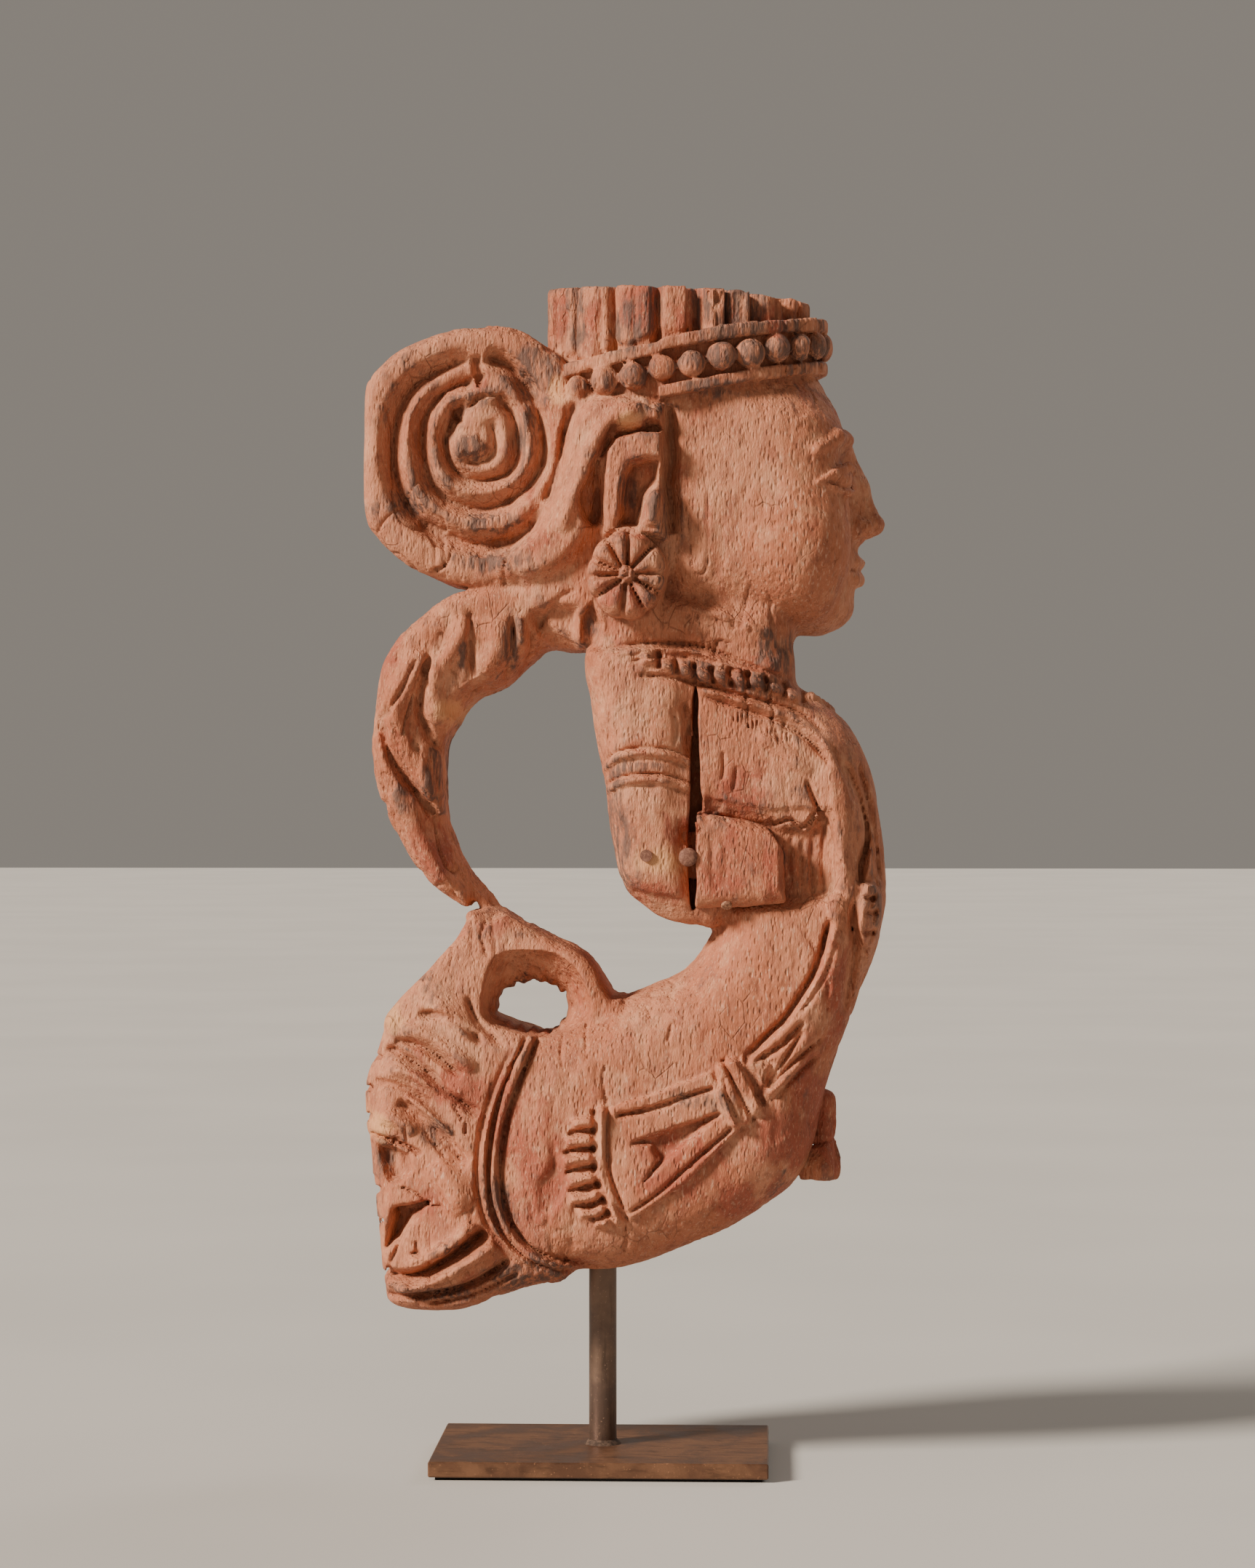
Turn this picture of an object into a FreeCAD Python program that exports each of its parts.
import FreeCAD, Part
import math
import os

from FreeCAD import Vector

# A weathered wooden figure, carved from one timber as a curved bracket, on a
# steel stand.  Millimetres.  +Z is up, +X is the way the figure faces, and the
# figure is seen side-on along Y.  The origin is the centre of the underside of
# the base, on the axis of the post.

# ---- stand -----------------------------------------------------------------
FELT_THICK = 1.5
FELT_INSET = 3.0
PLATE_X = 152.4
PLATE_Y = 101.6
PLATE_THICK = 7.0
PLATE_EDGE_BREAK = 0.6
POST_R = 6.35
POST_TIP_BREAK = 1.0
POST_TOP = 138.0
WELD_LEG = 2.2
WELD_TOE = 0.2
PLATE_TOP = FELT_THICK + PLATE_THICK
BORE_CLEARANCE = 0.08
BORE_END_GAP = 0.3

# ---- the timber, as stations of its side view --------------------------------
# Each station joins a point of the inner outline to a point of the outer
# outline, both as (X, Z), and gives half the thickness there.
BODY = [
    ((-6, 372), (97, 364), 34),
    ((-3, 345), (108, 345), 42),
    ((3, 316), (124, 318), 44),
    ((8, 284), (130, 280), 44),
    ((36, 255), (131, 252), 44),
    ((50, 241), (121, 219), 45),
    ((38, 227), (102, 170), 46),
    ((20, 218), (79, 121), 46),
    ((0, 213), (36, 101), 46),
    ((-19, 206), (2, 90), 46),
    ((-34, 200), (-22, 85), 45),
]
CREATURE_HEAD = [
    ((-28, 202), (-16, 87), 44),
    ((-42, 207), (-36, 78), 44),
    ((-62, 213), (-60, 71), 43),
    ((-84, 208), (-82, 67.5), 39),
    ((-101, 190), (-98, 69), 33),
    ((-109.5, 165), (-105, 90), 24),
]
BRAID = [
    ((-2, 380), (-22, 424), 26),
    ((-25, 376), (-66, 404), 25),
    ((-50, 360), (-90, 387), 23),
    ((-68, 338), (-103, 355), 21),
    ((-74, 317), (-105.5, 325), 19),
    ((-72, 295), (-103, 303), 17),
    ((-63, 274), (-93, 283), 14),
    ((-54, 260), (-77, 264), 10),
    ((-43, 243), (-66, 248), 13),
]
EAR_OUTLINE = [
    (-86, 222),
    (-76, 234),
    (-57, 257),
    (-46, 253),
    (-25, 241),
    (-8, 231),
    (4, 213),
    (-10, 196),
    (-60, 190),
]
EAR_HALF = 24
EAR_HOLE_AT = (-34.5, 210)
EAR_HOLE_RADII = (17.5, 11.5)
EAR_DISH_RADII = (25, 20)
EAR_DISH_DEPTH = 13
EAR_DISH_LIFT = 3
PAST_TIMBER = 60

# ---- head, as level slices: height, back X, front X, half-width --------------
HEAD = [
    (368, 0, 86, 26),
    (384, 4, 96, 31),
    (400, -2, 113, 40),
    (425, -4, 117, 45),
    (455, -8, 116, 47),
    (485, -16, 112, 47),
    (508, -22, 102, 46),
    (524, -28, 96, 44),
]
CROWN_TOP = 538
CROWN_FOOT = 520
CROWN_X = (-28, 96)
CROWN_HALF = 44
STAVES = 30
STAVE_GROOVE = 2.6
BAND_THICK = 17
BAND_RISE_DEG = 7.0
BAND_AT = (38, 507)
BAND_RADII = (66.5, 49)
NOSE_AT = (112, 437)
NOSE_R = (21, 9, 19)
CHIN_AT = (94, 396)
CHIN_R = (24, 25, 14)
LIPS_AT = (114, 411)
LIPS_R = (7, 12, 8)

# The hair between the scroll, the head and the braid.
HAIR_OUTLINE = [(-50, 402), (-31, 381), (-6, 374), (30, 377), (30, 512), (-27, 512), (-38, 440)]
HAIR_HALF = 35

SCROLL_AT = (-60, 465)
SCROLL_RADII = (51, 61)
SCROLL_HALF = 27
SCROLL_RIDGE_STEP = 13.0
SCROLL_RIDGE_WIDTH = 8.0
SCROLL_RIDGE_DEPTH = 4.0
SCROLL_RIM = 4.0

EARRING_AT = (12.5, 410)
EARRING_RADII = (16, 18.5)
EARRING_Y = (36, 53)
PETALS = 10
PETAL_GROOVE = 1.4
PETAL_GROOVE_START = 0.2

# ---- arms -------------------------------------------------------------------
# Stations down the upper arm, as back point, front point, inner and outer Y.
UPPER_ARM = [
    ((0, 366), (36, 372), 20, 44),
    ((-3, 346), (42, 352), 20, 50),
    ((0, 322), (42, 322), 20, 50),
    ((4, 296), (42, 292), 20, 51),
    ((9, 270), (41, 270), 20, 51),
    ((18, 261), (40, 256), 20, 49),
]
ARMLET_Z = (315, 328)
ARMLET_THICK = 3.2
ARMLET_X = (-2.5, 44)
ARMLET_Y = (22, 52)
FOREARM_X = (44, 84)
FOREARM_Z = (256, 299)
FOREARM_TOP_DROP = 8
FOREARM_Y = (31, 53)
FOREARM_EDGE_BREAK = 3
TENON_X0 = 14
TENON_Z = (269, 291)
TENON_Y = (36.5, 46.5)
TENON_FIT = 0.15
RECESS_CLEARANCE = 0.4
PIN_FIT = 0.05
ELBOW_PIN_AT = (21.6, 280)
ELBOW_PIN_R = 2.7
ELBOW_PIN_Y = (31, 51.6)
JOINT_NAIL_AT = (40.4, 279.4)
JOINT_NAIL_SHANK_R = 1.8
JOINT_NAIL_HEAD_R = 4.2
JOINT_NAIL_HEAD_RISE = 2.0
JOINT_NAIL_Y = (33, 53.02)
PEG_X = 57.6
PEG_R = 2.7
PEG_Z = (255.2, 272)
PEG_Y = 41.5

# ---- small relief -----------------------------------------------------------
TASSEL = [(101, 170, 5.5), (101.5, 152, 6.0), (102.5, 140, 8.2), (102, 131, 7.2)]
TASSEL_Y = -12
SASH_PANEL = [(3, 162), (57, 182), (70, 168), (8, 112), (-4, 134)]
SASH_RISE = 3.0
SASH_ROOT = 14.0
COLLAR_STATION = 9
COLLAR_RISE = 3.0
COLLAR_WIDTH = 6.0
RING_POINTS = 16
RING_SQUARENESS = 2.3


def squared(value):
    """A cosine or sine pushed outward, so that a ring is a little squarer than an ellipse."""
    return math.copysign(abs(value) ** (2 / RING_SQUARENESS), value)


def ring(inner, outer, y_low, y_high):
    """A closed smooth ring across the timber, from an inner to an outer outline point."""
    middle = Vector((inner[0] + outer[0]) / 2, (y_low + y_high) / 2, (inner[1] + outer[1]) / 2)
    along = Vector((outer[0] - inner[0]) / 2, 0, (outer[1] - inner[1]) / 2)
    across = Vector(0, (y_high - y_low) / 2, 0)
    turns = [2 * math.pi * i / RING_POINTS for i in range(RING_POINTS)]
    points = [middle + along * squared(math.cos(t)) + across * squared(math.sin(t)) for t in turns]
    curve = Part.BSplineCurve()
    curve.interpolate(Points=points, PeriodicFlag=True)
    return Part.Wire(curve.toShape())


def loft(rings):
    return Part.makeLoft(rings, True, False)


def station_loft(stations):
    return loft([ring(inner, outer, -half, half) for inner, outer, half in stations])


def oval(x, z, radius_x, radius_z, y_low, y_high):
    """A disc with an oval face, standing across the timber."""
    disc = Part.makeCylinder(1, 1, Vector(0, 0, 0), Vector(0, 1, 0))
    stretch = FreeCAD.Matrix()
    stretch.scale(radius_x, y_high - y_low, radius_z)
    disc = disc.transformGeometry(stretch)
    disc.translate(Vector(x, y_low, z))
    return disc


def ellipsoid(at, radii):
    ball = Part.makeSphere(1)
    stretch = FreeCAD.Matrix()
    stretch.scale(*radii)
    ball = ball.transformGeometry(stretch)
    ball.translate(at)
    return ball


def slab(outline, y_low, y_high):
    """A side-view outline of straight runs, given thickness along Y."""
    points = [Vector(x, y_low, z) for x, z in outline + outline[:1]]
    return Part.Face(Part.makePolygon(points)).extrude(Vector(0, y_high - y_low, 0))


def pin(x, z, radius, y_low, y_high):
    return Part.makeCylinder(radius, y_high - y_low, Vector(x, y_low, z), Vector(0, 1, 0))


def both_sides(shape):
    return [shape, shape.mirror(Vector(0, 0, 0), Vector(0, 1, 0))]


def base_felt():
    size_x = PLATE_X - 2 * FELT_INSET
    size_y = PLATE_Y - 2 * FELT_INSET
    return Part.makeBox(size_x, size_y, FELT_THICK, Vector(-size_x / 2, -size_y / 2, 0))


def base_plate():
    plate = Part.makeBox(PLATE_X, PLATE_Y, PLATE_THICK, Vector(-PLATE_X / 2, -PLATE_Y / 2, FELT_THICK))
    return plate.makeChamfer(PLATE_EDGE_BREAK, plate.Edges)


def stand_post():
    post = Part.makeCylinder(POST_R, POST_TOP - PLATE_TOP, Vector(0, 0, PLATE_TOP))
    tip = [edge for edge in post.Edges if abs(edge.BoundBox.ZMin - POST_TOP) < 1e-6]
    return post.makeChamfer(POST_TIP_BREAK, tip)


def post_weld():
    """The fillet of weld round the foot of the post."""
    bead = Part.makeCone(POST_R + WELD_LEG, POST_R + WELD_TOE, WELD_LEG, Vector(0, 0, PLATE_TOP))
    return bead.cut(Part.makeCylinder(POST_R, WELD_LEG, Vector(0, 0, PLATE_TOP)))


def crown():
    """The flat-topped crown, with upright staves cut round it."""
    x_low, x_high = CROWN_X
    radius_x = (x_high - x_low) / 2
    middle = (x_low + x_high) / 2
    solid = Part.makeCylinder(1, 1)
    stretch = FreeCAD.Matrix()
    stretch.scale(radius_x, CROWN_HALF, CROWN_TOP - CROWN_FOOT)
    solid = solid.transformGeometry(stretch)
    solid.translate(Vector(middle, 0, CROWN_FOOT))
    for i in range(STAVES):
        turn = 2 * math.pi * i / STAVES
        at = Vector(middle + radius_x * math.cos(turn), CROWN_HALF * math.sin(turn), CROWN_FOOT - 1)
        solid = solid.cut(Part.makeCylinder(STAVE_GROOVE / 2, CROWN_TOP - CROWN_FOOT + 2, at))
    return solid


def headband():
    """The band under the crown, which rises towards the brow."""
    band = Part.makeCylinder(1, 1)
    stretch = FreeCAD.Matrix()
    stretch.scale(BAND_RADII[0], BAND_RADII[1], BAND_THICK)
    band = band.transformGeometry(stretch)
    band.translate(Vector(0, 0, -BAND_THICK / 2))
    band.rotate(Vector(0, 0, 0), Vector(0, 1, 0), -BAND_RISE_DEG)
    band.translate(Vector(BAND_AT[0], 0, BAND_AT[1]))
    return band


def head():
    """The plain head with its own simple nose, lips and chin."""
    block = loft([level_ring(*slice_) for slice_ in HEAD])
    nose = ellipsoid(Vector(NOSE_AT[0], 0, NOSE_AT[1]), NOSE_R)
    lips = ellipsoid(Vector(LIPS_AT[0], 0, LIPS_AT[1]), LIPS_R)
    chin = ellipsoid(Vector(CHIN_AT[0], 0, CHIN_AT[1]), CHIN_R)
    return [block, nose, lips, chin, slab(HAIR_OUTLINE, -HAIR_HALF, HAIR_HALF), crown(), headband()]


def level_ring(height, back, front, half):
    """A closed smooth ring lying level at a height."""
    turned = ring((back, 0), (front, 0), -half, half)
    turned.translate(Vector(0, 0, height))
    return turned


def scroll():
    """The rolled lock behind the head, with its spiral ridge on both faces."""
    disc = oval(*SCROLL_AT, *SCROLL_RADII, -SCROLL_HALF, SCROLL_HALF)
    ridges = []
    turns = int(SCROLL_RADII[0] // SCROLL_RIDGE_STEP)
    for turn in range(turns):
        outer_x = SCROLL_RADII[0] - SCROLL_RIM - turn * SCROLL_RIDGE_STEP
        outer_z = outer_x * SCROLL_RADII[1] / SCROLL_RADII[0]
        inner_x = outer_x - (SCROLL_RIDGE_STEP - SCROLL_RIDGE_WIDTH)
        inner_z = outer_z - (SCROLL_RIDGE_STEP - SCROLL_RIDGE_WIDTH)
        for face in (-1, 1):
            low, high = sorted((face * (SCROLL_HALF - SCROLL_RIDGE_DEPTH), face * (SCROLL_HALF + 1)))
            groove = oval(*SCROLL_AT, outer_x, outer_z, low, high)
            if inner_x > 0:
                groove = groove.cut(oval(*SCROLL_AT, inner_x, inner_z, low, high))
            ridges.append(groove)
    return disc.cut(Part.makeCompound(ridges))


def earring():
    """A thick rosette on the ear, with a cut between its petals."""
    low, high = EARRING_Y
    drum = oval(*EARRING_AT, *EARRING_RADII, low, high)
    for i in range(PETALS):
        turn = 2 * math.pi * i / PETALS
        reach = Vector(math.cos(turn), 0, math.sin(turn)) * max(EARRING_RADII)
        start = Vector(EARRING_AT[0], high, EARRING_AT[1])
        inner_end = start + reach * PETAL_GROOVE_START
        drum = drum.cut(Part.makeCylinder(PETAL_GROOVE, reach.Length, inner_end, reach))
    return drum


def upper_arm():
    arm = loft([ring(back, front, low, high) for back, front, low, high in UPPER_ARM])
    armlets = [
        loft([ring((ARMLET_X[0], z), (ARMLET_X[1], z), *ARMLET_Y) for z in (height, height + ARMLET_THICK)])
        for height in ARMLET_Z
    ]
    return arm.multiFuse(armlets)


def tenon(fit=0.0):
    """The tongue of the forearm, or its mortise when a fit is given."""
    return Part.makeBox(
        FOREARM_X[0] - TENON_X0 + 2 * fit,
        TENON_Y[1] - TENON_Y[0] + 2 * fit,
        TENON_Z[1] - TENON_Z[0] + 2 * fit,
        Vector(TENON_X0 - fit, TENON_Y[0] - fit, TENON_Z[0] - fit),
    )


def forearm_block(grow=0.0):
    """The forearm without its tongue: a squared block, cut off square at the front."""
    x_low, x_high = FOREARM_X[0] - grow, FOREARM_X[1] + grow
    z_low, z_high = FOREARM_Z[0] - grow, FOREARM_Z[1] + grow
    outline = [(x_low, z_low), (x_high, z_low), (x_high, z_high - FOREARM_TOP_DROP), (x_low, z_high)]
    return slab(outline, FOREARM_Y[0] - grow, FOREARM_Y[1] + grow)


def elbow_pin(fit=0.0):
    """The pin through the elbow and the forearm's tongue, or its hole when a fit is given."""
    return pin(*ELBOW_PIN_AT, ELBOW_PIN_R + fit, *ELBOW_PIN_Y)


def joint_nail(fit=0.0):
    """A round shank under a domed head that stands on the wood."""
    shank = pin(*JOINT_NAIL_AT, JOINT_NAIL_SHANK_R + fit, *JOINT_NAIL_Y)
    if fit:
        return shank
    x, z = JOINT_NAIL_AT
    top = JOINT_NAIL_Y[1]
    dome = ellipsoid(Vector(x, top, z), (JOINT_NAIL_HEAD_R, JOINT_NAIL_HEAD_RISE, JOINT_NAIL_HEAD_R))
    over_surface = Part.makeBox(20, 10, 20, Vector(x - 10, top, z - 10))
    return shank.fuse(dome.common(over_surface))


def forearm_peg(fit=0.0):
    """A round peg driven up into the underside of the forearm."""
    return Part.makeCylinder(PEG_R + fit, PEG_Z[1] - PEG_Z[0] + fit, Vector(PEG_X, PEG_Y, PEG_Z[0]))


def forearm():
    """A far-side forearm: block and tongue in one piece, bored for its three fastenings."""
    block = forearm_block()
    block = block.makeChamfer(FOREARM_EDGE_BREAK, long_outer_edges(block))
    solid = block.fuse(tenon()).removeSplitter()
    return solid.cut(elbow_pin(PIN_FIT)).cut(joint_nail(PIN_FIT)).cut(forearm_peg(PIN_FIT))


def long_outer_edges(block):
    """The two edges that run along the forearm on its outer face."""
    outer = FOREARM_Y[1]
    boxes = [(edge, edge.BoundBox) for edge in block.Edges]
    return [edge for edge, box in boxes if box.YMin > outer - 1 and box.XLength > 1]


def ear():
    """The creature's tall ear, which rises to meet the tip of the braid."""
    return slab(EAR_OUTLINE, -EAR_HALF, EAR_HALF)


def ear_hole():
    """The opening through the ear, dished on both faces."""
    x, z = EAR_HOLE_AT
    through = oval(x, z, *EAR_HOLE_RADII, -PAST_TIMBER, PAST_TIMBER)
    floor = EAR_HALF - EAR_DISH_DEPTH
    spans = ((-PAST_TIMBER, -floor), (floor, PAST_TIMBER))
    dishes = [oval(x, z + EAR_DISH_LIFT, *EAR_DISH_RADII, low, high) for low, high in spans]
    return through.multiFuse(dishes)


def tassel():
    """The stub of a tassel that hangs on the front of the body."""
    rings = []
    for x, height, radius in TASSEL:
        turned = ring((x - radius, 0), (x + radius, 0), TASSEL_Y - radius, TASSEL_Y + radius)
        turned.translate(Vector(0, 0, height))
        rings.append(turned)
    return loft(rings)


def sash_panel():
    """The end of the sash, a raised tapered panel on the body's side."""
    surface = max(half for _, _, half in BODY)
    return slab(SASH_PANEL, surface - SASH_ROOT, surface + SASH_RISE)


def collar():
    """The raised collar between the body and the creature's head."""
    inner, outer, half = BODY[COLLAR_STATION]
    rings = []
    for shift in (0, -COLLAR_WIDTH):
        low = (inner[0] + shift, inner[1] + COLLAR_RISE)
        high = (outer[0] + shift, outer[1] - COLLAR_RISE)
        rings.append(ring(low, high, -half - COLLAR_RISE, half + COLLAR_RISE))
    return loft(rings)


def post_bore():
    depth = POST_TOP + BORE_END_GAP
    return Part.makeCylinder(POST_R + BORE_CLEARANCE, depth)


def carved_figure():
    """The whole timber: figure, scroll, braid and creature in one piece."""
    parts = [station_loft(stations) for stations in (BODY, CREATURE_HEAD, BRAID)]
    parts += [ear(), scroll(), tassel(), collar()]
    parts += head()
    for shape in (upper_arm(), earring(), sash_panel()):
        parts += both_sides(shape)
    timber = parts[0].multiFuse(parts[1:])
    removed = [post_bore(), ear_hole()]
    fitted = [forearm_block(RECESS_CLEARANCE), tenon(TENON_FIT)]
    fitted += [maker(PIN_FIT) for maker in (elbow_pin, joint_nail, forearm_peg)]
    for shape in fitted:
        removed += both_sides(shape)
    for shape in removed:
        timber = timber.cut(shape)
    return timber


def export(name, shape):
    shape.exportStep("parts/" + name + ".step")
    box = shape.BoundBox
    low = [round(v, 1) for v in (box.XMin, box.YMin, box.ZMin)]
    high = [round(v, 1) for v in (box.XMax, box.YMax, box.ZMax)]
    print(name, "valid", shape.isValid(), "solids", len(shape.Solids), "volume", round(shape.Volume))
    print("  box", low, high)


def main():
    os.makedirs("parts", exist_ok=True)
    export("base_felt", base_felt())
    export("base_plate", base_plate())
    export("stand_post", stand_post())
    export("post_weld", post_weld())
    export("carved_figure", carved_figure())
    makers = {
        "forearm": forearm,
        "elbow_pin": elbow_pin,
        "joint_nail": joint_nail,
        "forearm_peg": forearm_peg,
    }
    for name, maker in makers.items():
        far, near = both_sides(maker())
        export("far_" + name, far)
        export("near_" + name, near)


main()
